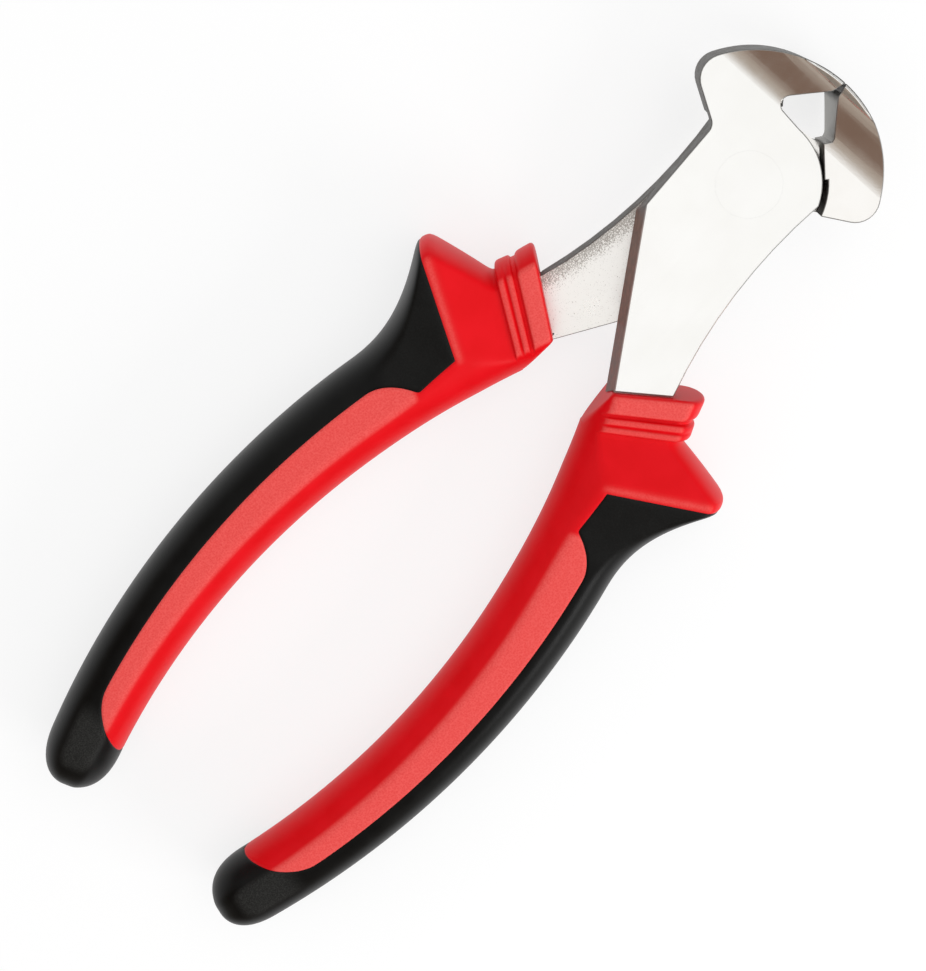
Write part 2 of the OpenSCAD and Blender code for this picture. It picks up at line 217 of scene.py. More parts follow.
# The forged skin on the sides: scale and pits in mottled patches
forged_skin, wire, given, result = new_group(
    "Forged Skin",
    [("Vector", "NodeSocketVector"), ("Scale", "NodeSocketFloat")],
    [("Patch", "NodeSocketFloat"), ("Tone", "NodeSocketFloat"), ("Height", "NodeSocketFloat")])
patch = wire.node("ShaderNodeTexNoise", Vector=given.outputs["Vector"], Scale=given.outputs["Scale"],
                  Detail=5.0, Roughness=0.65).outputs[0]
pits = wire.node("ShaderNodeTexVoronoi", Vector=given.outputs["Vector"], Scale=1400.0).outputs["Distance"]
wire.feed(result.inputs["Patch"], patch)
wire.feed(result.inputs["Tone"], wire.steps(patch, 0.35, 0.65))
wire.feed(result.inputs["Height"], wire.math("MULTIPLY_ADD", pits, 0.5, patch))

# The walls of the throat behind the cutting edges, which are machined and left bare
bare_steel = (0.27, 0.26, 0.245, 1), (0.38, 0.37, 0.35, 1)
throat_wall, wire, given, result = new_group(
    "Throat Wall",
    [("Vector", "NodeSocketVector"), ("Tone", "NodeSocketFloat")],
    [("Mask", "NodeSocketFloat"), ("Colour", "NodeSocketColor")])
apart = wire.node("ShaderNodeSeparateXYZ", i0=given.outputs["Vector"]).outputs
past_lap = wire.steps(apart["Y"], pivot.y + 4 * mm, pivot.y + 8 * mm)
between_jaws = wire.steps(wire.math("ABSOLUTE", apart["X"]), 5.5 * mm, 7 * mm, 1.0, 0.0)
short_of_edge = wire.steps(apart["Y"], pivot.y + 19 * mm, pivot.y + 20 * mm, 1.0, 0.0)
wire.feed(result.inputs["Mask"],
          wire.math("MULTIPLY", wire.math("MULTIPLY", past_lap, between_jaws), short_of_edge))
wire.feed(result.inputs["Colour"], wire.blend(given.outputs["Tone"], *bare_steel))

# The polished rim of the jaws: the wheel carries the flare's slope on towards the rim and rounds the rim over
rim_centre, rim_r, rim_round = pivot + Vector((0, 1.2 * mm, 0)), 21.0 * mm, 0.6 * mm
land_y, flare_slope = pivot.y + 20.6 * mm, 0.87
rounded_rim, wire, given, result = new_group(
    "Rounded Rim", [("Vector", "NodeSocketVector")], [("Height", "NodeSocketFloat")])
apart = wire.node("ShaderNodeSeparateXYZ", i0=given.outputs[0]).outputs
flat_place = wire.node("ShaderNodeCombineXYZ", X=apart["X"], Y=apart["Y"])
from_centre = wire.node("ShaderNodeVectorMath", {"operation": "DISTANCE"}, i0=flat_place.outputs[0],
                        i1=(rim_centre.x, rim_centre.y, 0.0))
within_rim = wire.steps(from_centre.outputs["Value"], rim_r - rim_round, rim_r, 1.0, 0.0)
past_land = wire.math("MAXIMUM", wire.math("SUBTRACT", apart["Y"], land_y), 0.0)
wire.feed(result.inputs[0], wire.math("MULTIPLY", wire.math("MULTIPLY", past_land, flare_slope), within_rim))


def finish_steel(wire, shader, place, skin, face, forged, face_height, bump_strength, bump_depth):
    """Joins a half's ground faces and its forged sides, each given as colour and roughness."""
    (face_colour, face_rough), (side_colour, side_rough) = face, forged
    side = wire.node("ShaderNodeAttribute", {"attribute_name": "forged_side"}).outputs["Fac"]
    not_side = wire.math("SUBTRACT", 1.0, side)
    throat = wire.node("ShaderNodeGroup", {"node_tree": throat_wall}, Vector=place, Tone=skin["Tone"]).outputs
    side_colour = wire.blend(throat["Mask"], side_colour, throat["Colour"])
    wire.feed(shader.inputs["Base Color"], wire.blend(side, face_colour, side_colour))
    scaled = wire.math("MULTIPLY", side, wire.math("SUBTRACT", 1.0, throat["Mask"]))
    wire.feed(shader.inputs["Metallic"], wire.math("SUBTRACT", 1.0, scaled))
    shader.inputs["Specular IOR Level"].default_value = 0.08
    wire.feed(shader.inputs["Roughness"], wire.math("ADD", wire.math("MULTIPLY", face_rough, not_side),
                                                    wire.math("MULTIPLY", side_rough, side)))
    rim = wire.node("ShaderNodeGroup", {"node_tree": rounded_rim}, Vector=place)
    rounded = wire.node("ShaderNodeBump", Strength=1.0, Distance=1.0, Height=rim.outputs["Height"])
    height = wire.math("ADD", face_height, wire.math("MULTIPLY", skin["Height"], side))
    bump = wire.node("ShaderNodeBump", Strength=bump_strength, Distance=bump_depth, Height=height,
                     Normal=rounded.outputs[0])
    wire.feed(shader.inputs["Normal"], bump.outputs[0])


polished_tones, streak_tone = ((0.94, 0.93, 0.90, 1), (0.972, 0.965, 0.94, 1)), (0.87, 0.85, 0.815, 1)
brown_scale_and_reflection = (0.15, 0.088, 0.068, 1), (0.25, 0.16, 0.13, 1)
black_scale = (0.062, 0.058, 0.053, 1), (0.105, 0.10, 0.092, 1)
streak_scale, cloud_scale, scale_patches = 900.0, 70.0, 700.0

polished_steel, wire, shader, place = new_material("polished steel")
ground = wire.node("ShaderNodeGroup", {"node_tree": ground_steel}, Vector=place, Streaks=streak_scale,
                   Clouds=cloud_scale).outputs
skin = wire.node("ShaderNodeGroup", {"node_tree": forged_skin}, Vector=place, Scale=scale_patches).outputs
along = wire.node("ShaderNodeSeparateXYZ", i0=place).outputs["Y"]
on_head = wire.steps(along, pivot.y - 17 * mm, pivot.y - 13 * mm)
face_colour = wire.blend(wire.steps(ground["Cloud"], 0.3, 0.7), *polished_tones)
face_colour = wire.blend(wire.steps(ground["Streak"], 0.62, 0.8, 0.0, 0.3), face_colour, streak_tone)
face_rough = wire.steps(ground["Streak"], 0.25, 0.75, 0.11, 0.2)
# Brown sides on the head: forged scale, and also a painted reflection and painted shade; black scale behind
# it.
side_colour = wire.blend(on_head, wire.blend(skin["Tone"], *brown_scale_and_reflection),
                         wire.blend(skin["Tone"], *black_scale))
side_rough = wire.steps(skin["Patch"], 0.3, 0.7, 0.34, 0.5)
finish_steel(wire, shader, place, skin, (face_colour, face_rough), (side_colour, side_rough),
             face_height=wire.math("MULTIPLY", ground["Height"], 0.2), bump_strength=0.3,
             bump_depth=0.03 * mm)

front_half = eased_forging("front_half", "front_half_forging")
front_half.data.materials.clear()
front_half.data.materials.append(polished_steel)
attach(front_half, "front_lever")
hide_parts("front_half")


# BACK HALF
# The same forging turned about the tool's long axis: right jaw, rear lap and the arm of the left grip.
# Its faces are ground like the other's, but the arm is only satin finished, and dark forging pits are
# left along its waist and beside the joint.
waist_c = Vector((-104.05, -6.0, 0.0)) * mm + Vector((pivot.x, pivot.y, 0.0))
waist_r, speckled_from, speckled_to = 93.75 * mm, 0.2 * mm, 4.2 * mm
satin_tones, speck_tone = ((0.93, 0.905, 0.865, 1), (0.965, 0.948, 0.915, 1)), (0.24, 0.21, 0.18, 1)
satin_scale = (0.058, 0.054, 0.049, 1), (0.10, 0.094, 0.085, 1)
satin_streaks, satin_clouds, speck_scale = 700.0, 90.0, 5000.0

satin_steel, wire, shader, place = new_material("satin steel")
ground = wire.node("ShaderNodeGroup", {"node_tree": ground_steel}, Vector=place, Streaks=satin_streaks,
                   Clouds=satin_clouds).outputs
skin = wire.node("ShaderNodeGroup", {"node_tree": forged_skin}, Vector=place, Scale=scale_patches).outputs
flat_place = wire.node("ShaderNodeVectorMath", {"operation": "MULTIPLY"}, i0=place, i1=(1.0, 1.0, 0.0))
from_waist = wire.node("ShaderNodeVectorMath", {"operation": "DISTANCE"}, i0=flat_place.outputs[0],
                       i1=waist_c)
inward = wire.math("SUBTRACT", from_waist.outputs["Value"], waist_r)
near_waist = wire.steps(inward, speckled_from, speckled_to, 1.0, 0.0)
along = wire.node("ShaderNodeSeparateXYZ", i0=place).outputs["Y"]
on_head = wire.steps(along, pivot.y - 2 * mm, pivot.y + 4 * mm)
behind_lap = wire.steps(along, pivot.y - 16 * mm, pivot.y - 10 * mm, 1.0, 0.0)
speck = wire.node("ShaderNodeTexNoise", Vector=place, Scale=speck_scale, Detail=3.0, Roughness=0.65)
dark_speck = wire.math("ADD", speck.outputs[0], wire.math("MULTIPLY", near_waist, 0.24))
dark_speck = wire.math("MULTIPLY", wire.steps(dark_speck, 0.6, 0.76), behind_lap)
face_colour = wire.blend(wire.steps(ground["Cloud"], 0.3, 0.7), *satin_tones)
face_colour = wire.blend(wire.math("MULTIPLY", dark_speck, 0.75), face_colour, speck_tone)
face_rough = wire.math("MULTIPLY_ADD", on_head, -0.14, wire.steps(ground["Cloud"], 0.25, 0.75, 0.26, 0.36))
side_colour = wire.blend(skin["Tone"], *satin_scale)
side_rough = wire.steps(skin["Patch"], 0.3, 0.7, 0.36, 0.52)
finish_steel(wire, shader, place, skin, (face_colour, face_rough), (side_colour, side_rough),
             face_height=wire.math("SUBTRACT", wire.math("MULTIPLY", ground["Height"], 0.3),
                                   wire.math("MULTIPLY", dark_speck, 0.8)),
             bump_strength=0.4, bump_depth=0.04 * mm)

back_half = eased_forging("back_half", "back_half_forging")
back_half.data.materials.clear()
back_half.data.materials.append(satin_steel)
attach(back_half, "back_lever")
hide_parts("back_half")


# PIVOT RIVET
# A steel rivet that is upset into the countersinks of both laps and ground flush, so that its ends can
# hardly be told from the lap faces round them. It is turned bar, ground together with the halves.
lap_faces = (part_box("pivot_rivet")[0].z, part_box("pivot_rivet")[1].z)
countersink_t = 1.4 * mm
shank_r = 4.03 * mm
rivet_sides = 128

profile = [(0.0, lap_faces[0]), (rivet_hole_r, lap_faces[0]), (shank_r, lap_faces[0] + countersink_t),
           (shank_r, lap_faces[1] - countersink_t), (rivet_hole_r, lap_faces[1]), (0.0, lap_faces[1])]
bm = bmesh.new()
rows = []
for r, z in profile:
    turns = range(rivet_sides) if r else range(1)
    rows.append([bm.verts.new((pivot.x + r * cos(2 * pi * k / rivet_sides),
                               pivot.y + r * sin(2 * pi * k / rivet_sides), z)) for k in turns])
for low, high in zip(rows, rows[1:]):
    for k in range(rivet_sides):
        corners = [low[k % len(low)], low[(k + 1) % len(low)], high[(k + 1) % len(high)], high[k % len(high)]]
        bm.faces.new(list(dict.fromkeys(corners)))
bmesh.ops.recalc_face_normals(bm, faces=bm.faces)
rivet_mesh = bpy.data.meshes.new("flush_rivet")
bm.to_mesh(rivet_mesh)
bm.free()
rivet_mesh.materials.append(polished_steel)
rivet = bpy.data.objects.new("flush_rivet", rivet_mesh)
bpy.context.scene.collection.objects.link(rivet)
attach(rivet, "front_lever")
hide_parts("pivot_rivet")


# GRIP CORES
# Each red sleeve is one hard plastic moulding over a steel tang: a ridged collar, a flared finger guard,
# a smooth bevelled inner side and finely grained front and back panels. It is moulded straight on to the
# tang, and the soft cover is moulded over it in a second shot.

# Sizes in millimetres on the straight grip: s runs from the collar's mouth to the tip, n from the inner to
# the outer side, and depth is half the thickness. A bend lays the straight form along the handle.
bend_r, spread, belly = 157.0, 26.0, 104.0
collar_turn, collar_lean, lean_start, lean_len = radians(25.2), radians(11.3), 20.6, 30.0
band_w, ridge_w, groove_w, ridge_h, ridge_side_h, band_lip_w = 3.6, 2.9, 0.5, 0.8, 1.3, 0.5
flank_len, crest_w, hollow_len = 7.9, 2.0, 17.6
neck_depth, guard_depth, body_depth, bevel_depth = 7.2, 10.2, 9.0, 10.45
collar_w, guard_w, outer_w, inner_w, tip_w = 8.8, 19.3, 7.7, 8.75, 6.4
collar_round_w, round_w, bevel_w, mouth_w, mouth_len, mouth_round = 3.2, 5.0, 2.0, 5.5, 6.6, 1.5
line_depth_share, line_w_share, groove_fill_share = 0.5, 0.1, 0.62
grip_len, tip_len, tip_power, cap_len = 121.8, 9.2, 2.5, 7.0
hollow_power, rise_power, crest_lap = 2.6, 1.8, 0.4
edge_guard_w, edge_corner_w, edge_head_w, edge_foot_w = 0.7, 2.4, 2.35, 0.6
edge_wide_len, edge_rise_len, edge_end_len, edge_end_round_w = 7.8, 8.0, 10.7, 3.0
ridge_s = band_w + groove_w
neck_s = ridge_s + ridge_w + groove_w
guard_s = neck_s + flank_len
hollow_start_s = guard_s + crest_w
cover_s = hollow_start_s - crest_lap
hollow_s = hollow_start_s + hollow_len
tip_s = grip_len - tip_len
inlay_s = cover_s + edge_wide_len
panel_s = inlay_s + edge_rise_len
panel_end_s = grip_len - cap_len
panel_foot_s = panel_end_s - edge_end_len - edge_end_round_w
panel_tip_s = panel_end_s - edge_end_len * (inner_w - tip_w) / (inner_w + edge_foot_w)
crease_round, mouth_soft = 0.7, 0.6
cover_depth, mould_gap = 1.2, 0.03
seam_depth, seam_w = 0.14, 0.4
core_columns, cover_columns, section_points, guard_points = 46, 54, 900, 60
fine_step, depth_blur, side_blur, edge_blur = 0.02, 22, 24, 16
same_point, thin_edge, crease_turn = 0.0005, 0.0002, radians(48)


def mix(a, b, u):
    return a + (b - a) * u


def ease(u):
    v = np.clip(u, 0, 1)
    return v * v * (3 - 2 * v)


def soft_min(a, b, k):
    h = np.maximum(k - np.abs(a - b), 0) / k
    return np.minimum(a, b) - h * h * k / 4


def smoothed(values, sigma_steps):
    """The values along the grip blurred by that many fine steps, with straight ends kept straight."""
    reach = int(4 * sigma_steps)
    kernel = np.exp(-0.5 * (np.arange(-reach, reach + 1) / sigma_steps) ** 2)
    padded = np.pad(values, reach, mode="reflect", reflect_type="odd")
    return np.convolve(padded, kernel / kernel.sum(), mode="valid")


# Depth and reach along the grip, on a fine scale of stations, with the guard's crest a little rounded
fine_s = np.arange(0, grip_len + fine_step / 2, fine_step)
flank = np.clip((fine_s - neck_s) / flank_len, 0, 1)
past_guard = (1 - np.clip((fine_s - hollow_start_s) / hollow_len, 0, 1)) ** hollow_power
outer_body = mix(outer_w, tip_w, np.clip((fine_s - hollow_s) / (tip_s - hollow_s), 0, 1))
before = fine_s < hollow_start_s
fine_depth = smoothed(np.where(before, mix(neck_depth, guard_depth, flank),
                               mix(body_depth, guard_depth, past_guard)), depth_blur)
fine_outer = smoothed(np.where(before, mix(collar_w, guard_w, flank),
                               mix(outer_body, guard_w, past_guard)), side_blur)
fine_round = smoothed(np.where(before, collar_round_w, mix(round_w, collar_round_w, past_guard)), side_blur)


def pillow(u):
    """The relief of one raised strip across its width, flat on top with rounded edges."""
    return np.sqrt(np.maximum(1 - np.abs(2 * np.clip(u, 0, 1) - 1) ** 6, 0))


def ridges(s):
    """Share of the full relief of the collar's band and ridge, with the fine line along the ridge."""
    line = line_depth_share * np.exp(-(((s - ridge_s) / ridge_w - 0.5) / line_w_share) ** 2)
    return np.maximum(np.maximum(pillow(s / band_w), pillow((s - ridge_s) / ridge_w) - line), 0)


def side_ridges(s):
    """The same on the outer side, where the groove runs out and the fine line is missing."""
    groove = groove_fill_share * ((s > band_w / 2) & (s < ridge_s + ridge_w / 2))
    return np.maximum(np.maximum(pillow(s / band_w), pillow((s - ridge_s) / ridge_w)), groove)


# Edge of the soft cover on the front and back faces, with its corners rounded
along_panel = mix(edge_head_w, edge_foot_w, (fine_s - panel_s) / (panel_end_s - panel_s))
slant = mix(-inner_w, edge_foot_w, (panel_end_s - fine_s) / edge_end_len)
rise = 1 - np.clip((fine_s - inlay_s) / edge_rise_len, 0, 1)
fine_edge = np.where(
    fine_s < inlay_s, mix(-edge_guard_w, -edge_corner_w, (fine_s - cover_s) / edge_wide_len), np.where(
        fine_s < panel_s, mix(-edge_corner_w, edge_head_w, 1 - rise ** rise_power),
        soft_min(along_panel, slant, edge_end_round_w)))
fine_edge = smoothed(fine_edge, edge_blur)


def half_section(s):
    """The upper half of the grip's section, from its inner to its outer side: offsets, heights, run."""
    x = np.clip((s - tip_s) / tip_len, 0, 1)
    size = (1 - x ** tip_power) ** (1 / tip_power)
    h = (np.interp(s, fine_s, fine_depth) + ridge_h * ridges(s)) * size
    b, m = bevel_depth * size, bevel_w * size
    wi = mix(inner_w, tip_w, np.clip((s - guard_s) / (tip_s - guard_s), 0, 1)) * size
    ro = np.interp(s, fine_s, fine_round) * size
    lip = band_lip_w * max(1 - s / band_w, 0)
    fo = (np.interp(s, fine_s, fine_outer) + ridge_side_h * side_ridges(s) + lip) * size - ro
    turn = np.linspace(0, pi, section_points)
    n = (fo + ro - wi) / 2 - (fo + ro + wi) / 2 * np.cos(turn)
    bevel = b * np.sqrt(np.maximum(1 - (np.maximum(m - n, 0) / max(m + wi, 1e-9)) ** 2, 0))
    outer = h * np.sqrt(np.maximum(1 - (np.maximum(n - fo, 0) / max(ro, 1e-9)) ** 2, 0))
    z = np.maximum(soft_min(bevel, outer, crease_round * size + 1e-9), 0)
    z[0] = z[-1] = 0
    if s < mouth_len:
        cut = -mix(mouth_w, inner_w, s / mouth_len)
        n = -soft_min(-n, np.full_like(n, -cut), mouth_soft)
        corner = np.clip(1 - (n - cut) / mouth_round, 0, 1)
        z = np.minimum(z, z.max() - mouth_round * (1 - np.sqrt(1 - corner ** 2)))
    run = np.concatenate([[0], np.cumsum(np.hypot(np.diff(n), np.diff(z)))])
    return n, z, run


def crowd(a, b, steps):
    """Stations from a to b that stand closer together at both ends."""
    return mix(a, b, 0.5 - 0.5 * np.cos(np.linspace(0, pi, steps + 1)))


# Stations along the grip, closest where the collar's ridges, the seam and the tip turn sharply
near_seam = seam_w * np.array([-1, -0.65, -0.325, 0, 0.325, 0.65, 1])
stations = np.unique(np.round(np.concatenate([
    crowd(0, band_w, 24), crowd(ridge_s, ridge_s + ridge_w, 34), np.linspace(neck_s, guard_s, 20),
    np.linspace(guard_s, cover_s - seam_w, 8), cover_s + near_seam,
    np.linspace(cover_s + seam_w, inlay_s - 1, 18),
    np.linspace(inlay_s - 1, inlay_s + 1.5, 16), np.linspace(inlay_s + 1.5, panel_s + 1, 20),
    np.linspace(panel_s + 1, panel_foot_s, 56),
    mix(panel_foot_s, panel_tip_s, np.sin(np.linspace(0, pi / 2, 46))),
    np.linspace(panel_tip_s, tip_s, 4), tip_s + tip_len * np.sin(np.linspace(0, pi / 2, 26))]), 4))

# The skin at each station: columns of the core's part, then of the cover's, both pressed in at the seam
sections = [half_section(s) for s in stations]
seam_run = np.array([np.interp(np.interp(s, fine_s, fine_edge), n, run) if s < panel_end_s else 0.0
                     for s, (n, z, run) in zip(stations, sections)])
core_end = int(np.argmax((stations > panel_s) & (seam_run < 1e-6)))
cover_start = int(np.argmin(np.abs(stations - cover_s)))
seam_run[:cover_start] = seam_run[cover_start]
whole_run = np.array([run[-1] for n, z, run in sections])
seam_line = np.concatenate([
    np.stack([np.full(guard_points, cover_s),
              np.linspace(seam_run[cover_start], whole_run[cover_start] + 2, guard_points)], 1),
    np.stack([stations, seam_run], 1)[cover_start:core_end + 1]])


def seam_distance(s, run):
    """Distance on the skin from points at one station to the line where core and cover meet.

    The seam's run down the guard and its run along the panel aren't joined by a step between them.
    """
    a, d = seam_line[:-1], np.diff(seam_line, axis=0)
    d[guard_points - 1] = 0
    point = np.stack([np.full_like(run, s), run], 1)[:, None]
    t = np.clip(((point - a) * d).sum(2) / np.maximum((d * d).sum(1), 1e-12), 0, 1)
    return np.sqrt((((a + t[..., None] * d) - point) ** 2).sum(2).min(1))


skin = []
for i, s in enumerate(stations):
    n, z, run = sections[i]
    seam, whole = seam_run[i], whole_run[i]
    near_in, near_out = min(seam_w, seam / 2), min(seam_w, (whole - seam) / 2)
    at = np.concatenate([
        np.linspace(0, seam - near_in, core_columns - 3), seam - near_in * np.array([2 / 3, 1 / 3, 0]),
        seam + near_out * np.array([0, 1 / 3, 2 / 3]),
        np.linspace(seam + near_out, whole, cover_columns - 3)])
    tangent = np.stack([np.gradient(n), np.gradient(z)], 1)
    tangent /= np.maximum(np.hypot(*tangent.T), 1e-9)[:, None]
    normal = np.stack([np.interp(at, run, -tangent[:, 1]), np.interp(at, run, tangent[:, 0])], 1)
    normal /= np.maximum(np.hypot(*normal.T), 1e-9)[:, None]
    press = seam_depth * np.maximum(1 - seam_distance(s, at) / seam_w, 0) ** 1.5
    flat = np.stack([np.interp(at, run, n), np.interp(at, run, z)], 1)
    skin.append((flat - normal * press[:, None], normal))


def ring_of(points, s):
    """A whole ring from its upper half: the lower half is its mirror image."""
    upper = [(x, -s, z) for x, z in points]
    return upper + [(x, y, -z) for x, y, z in reversed(upper[1:-1])]


def join_rows(bm, low, high, closed):
    """Joins two rows of points by quads, all the way round or as an open strip."""
    for k in range(len(low) if closed else len(low) - 1):
        after = (k + 1) % len(low)
        bm.faces.new((low[k], low[after], high[after], high[k]))


def moulded(bm, name):
    """The straight moulding as a mesh, with what meets merged and its faces turned outwards."""
    bmesh.ops.remove_doubles(bm, verts=bm.verts, dist=same_point)
    bmesh.ops.dissolve_degenerate(bm, dist=thin_edge, edges=bm.edges)
    bmesh.ops.recalc_face_normals(bm, faces=bm.faces)
    mesh = bpy.data.meshes.new(name)
    bm.to_mesh(mesh)
    bm.free()
    return mesh


def handle_bend():
    """A tree that lays a straight grip along the handle's curve, at the pivot, and turns it over if asked."""
    tree = bpy.data.node_groups.new("Bend along the handle", "GeometryNodeTree")
    tree.interface.new_socket("Geometry", in_out="INPUT", socket_type="NodeSocketGeometry")
    for label in ("Bend Radius", "Spread", "Belly", "Collar Turn", "Collar Lean", "Lean Start", "Lean Length",
                  "Turned Over"):
        tree.interface.new_socket(label, in_out="INPUT", socket_type="NodeSocketFloat")
    tree.interface.new_socket("Pivot", in_out="INPUT", socket_type="NodeSocketVector")
    tree.interface.new_socket("Material", in_out="INPUT", socket_type="NodeSocketMaterial")
    tree.interface.new_socket("Geometry", in_out="OUTPUT", socket_type="NodeSocketGeometry")
    wire = Wiring(tree)
    given, result = wire.node("NodeGroupInput").outputs, wire.node("NodeGroupOutput")
    position = wire.node("GeometryNodeInputPosition").outputs[0]
    straight = wire.node("ShaderNodeSeparateXYZ", i0=position).outputs
    station = wire.math("MULTIPLY", straight["Y"], -1.0)
    turn = wire.math("SUBTRACT", given["Collar Turn"], wire.math("DIVIDE", station, given["Bend Radius"]))
    lean_end = wire.math("ADD", given["Lean Start"], given["Lean Length"])
    lean = wire.steps(station, given["Lean Start"], lean_end, given["Collar Lean"], 0.0)
    across = wire.math("ADD", turn, lean)
    place_x = wire.math("MULTIPLY_ADD", wire.math("COSINE", turn), given["Bend Radius"],
                        wire.math("SUBTRACT", given["Spread"], given["Bend Radius"]))
    place_x = wire.math("MULTIPLY_ADD", wire.math("COSINE", across), straight["X"], place_x)
    place_y = wire.math("MULTIPLY_ADD", wire.math("SINE", turn), given["Bend Radius"],
                        wire.math("MULTIPLY", given["Belly"], -1.0))
    place_y = wire.math("MULTIPLY_ADD", wire.math("SINE", across), straight["X"], place_y)
    bent = wire.node("ShaderNodeCombineXYZ", X=place_x, Y=place_y, Z=straight["Z"])
    laid = wire.node("GeometryNodeSetPosition", Geometry=given["Geometry"], Position=bent.outputs[0])
    flip = wire.node("ShaderNodeCombineXYZ", Y=wire.math("MULTIPLY", given["Turned Over"], pi))
    placed = wire.node("GeometryNodeTransform", Geometry=laid.outputs[0], Rotation=flip.outputs[0],
                       Translation=given["Pivot"])
    real = wire.node("GeometryNodeRealizeInstances", Geometry=placed.outputs[0])
    painted = wire.node("GeometryNodeSetMaterial", Geometry=real.outputs[0], Material=given["Material"])
    wire.feed(result.inputs["Geometry"], painted.outputs[0])
    return tree


bend_tree = handle_bend()


def on_handle(straight, name, turned_over, material):
    """The straight moulding laid along one handle, as a plain mesh in the shared frame."""
    piece = bpy.data.objects.new(name, straight.copy())
    piece.data.transform(Matrix.Scale(mm, 4))
    bpy.context.scene.collection.objects.link(piece)
    bend = piece.modifiers.new("bend", "NODES")
    bend.node_group = bend_tree
    values = {"Bend Radius": bend_r * mm, "Spread": spread * mm, "Belly": belly * mm,
              "Collar Turn": collar_turn, "Collar Lean": collar_lean, "Lean Start": lean_start * mm,
              "Lean Length": lean_len * mm, "Turned Over": float(turned_over), "Pivot": pivot,
              "Material": material}
    for item in bend_tree.interface.items_tree:
        if item.in_out == "INPUT" and item.name in values:
            bend[item.identifier] = values[item.name]
    mesh = bpy.data.meshes.new_from_object(piece.evaluated_get(bpy.context.evaluated_depsgraph_get()))
    piece.modifiers.clear()
    piece.data = mesh
    mesh.name = name
    mesh.shade_smooth()
    mesh.set_sharp_from_angle(angle=crease_turn)
    return piece


def grained(mesh, share):
    """Stores, at each point of a straight moulding, how strongly the mould's grain and its lighter painted
    sheen show there.
    """
    co = np.zeros(len(mesh.vertices) * 3, np.float32)
    mesh.vertices.foreach_get("co", co)
    n, s, z = co.reshape(-1, 3).T * np.array([[1], [-1], [1]])
    mesh.attributes.new("grain", "FLOAT", "POINT").data.foreach_set("value", share(n, s, np.abs(z)))


core_rings = [ring_of(points, s) for s, (points, normal) in zip(stations[:cover_start + 1], skin)]
for i in range(cover_start, core_end + 1):
    points, normal = skin[i]
    under = points[core_columns:] - normal[core_columns:] * (cover_depth + mould_gap)
    core_rings.append(ring_of(np.concatenate([points[:core_columns], under]), stations[i]))
bm = bmesh.new()
rows = [[bm.verts.new(p) for p in ring] for ring in core_rings]
for low, high in zip(rows, rows[1:]):
    join_rows(bm, low, high, closed=True)
bm.faces.new(rows[0])
bm.faces.new(rows[-1])
core_form = moulded(bm, "core_form")


def core_grain_and_sheen(n, s, z):
    """Grain on the flat faces of the band, the ridge and the panels, whose lighter tone is partly a painted
    sheen, and a soft painted highlight along the guard's crest.
    """
    depth = np.interp(s, fine_s, fine_depth) + ridge_h * ridges(s)
    on_face = ease((z - depth + 0.55) / 0.45)
    band = ease((s - 0.1) / 0.4) * (1 - ease((s - band_w + 0.35) / 0.3))
    ridge = 0.75 * ease((ridges(s) - 0.62) / 0.35) * (s > ridge_s) * (s < neck_s)
    # A soft strip along the middle of the guard's crest: a painted highlight.
    crest_highlight = 0.65 * np.exp(-((s - guard_s - 0.8) / 0.6) ** 2)
    panel = ease((s - inlay_s - 0.1) / 1.2)
    return np.clip(on_face * np.maximum(np.maximum(band, ridge), crest_highlight + panel), 0, 1)


grained(core_form, core_grain_and_sheen)

# Moulded grain: the fine spark-eroded texture that the mould leaves on a plastic face
moulded_grain, wire, given, result = new_group(
    "Moulded Grain",
    [("Vector", "NodeSocketVector"), ("Scale", "NodeSocketFloat")],
    [("Speckle", "NodeSocketFloat"), ("Mottle", "NodeSocketFloat"), ("Height", "NodeSocketFloat")])
cells = wire.node("ShaderNodeTexVoronoi", {"feature": "SMOOTH_F1"}, Vector=given.outputs["Vector"],
                  Scale=given.outputs["Scale"], Smoothness=0.6)
grit = wire.node("ShaderNodeTexNoise", Vector=given.outputs["Vector"],
                 Scale=wire.math("MULTIPLY", given.outputs["Scale"], 1.3), Detail=3.0, Roughness=0.6)
mottle = wire.node("ShaderNodeTexNoise", Vector=given.outputs["Vector"],
                   Scale=wire.math("MULTIPLY", given.outputs["Scale"], 0.06), Detail=3.0, Roughness=0.5)
wire.feed(result.inputs["Speckle"], wire.math("MULTIPLY_ADD", cells.outputs["Distance"], 0.5,
                                              wire.math("MULTIPLY", grit.outputs[0], 0.7)))
wire.feed(result.inputs["Mottle"], mottle.outputs[0])
wire.feed(result.inputs["Height"], wire.math("ADD", cells.outputs["Distance"], grit.outputs[0]))


def moulded_material(name, grain_scale, plain_tones, grain_and_sheen_tones, speckle_from, rough, relief, relief_depth,
                     gloss):
    """A moulded plastic or rubber, plain where the mould is polished and speckled where it is grained, the
    grained faces lighter partly as a painted sheen.
    """
    material, wire, shader, place = new_material(name)
    grain = wire.node("ShaderNodeGroup", {"node_tree": moulded_grain}, Vector=place,
                      Scale=grain_scale).outputs
    share = wire.node("ShaderNodeAttribute", {"attribute_name": "grain"}).outputs["Fac"]
    plain = wire.blend(wire.steps(grain["Mottle"], 0.3, 0.7), *plain_tones)
    grained_and_sheen = wire.blend(wire.steps(grain["Speckle"], speckle_from, 0.85), *grain_and_sheen_tones)
    wire.feed(shader.inputs["Base Color"], wire.blend(share, plain, grained_and_sheen))
    wire.feed(shader.inputs["Roughness"], wire.math("ADD", wire.math("MULTIPLY_ADD", share, 0.16, rough),
                                                    wire.math("MULTIPLY", grain["Mottle"], 0.08)))
    height = wire.math("MULTIPLY", grain["Height"], wire.math("MULTIPLY_ADD", share, *relief))
    bump = wire.node("ShaderNodeBump", Strength=0.5, Distance=relief_depth, Height=height)
    wire.feed(shader.inputs["Normal"], bump.outputs[0])
    shader.inputs["Specular IOR Level"].default_value = gloss
    return material
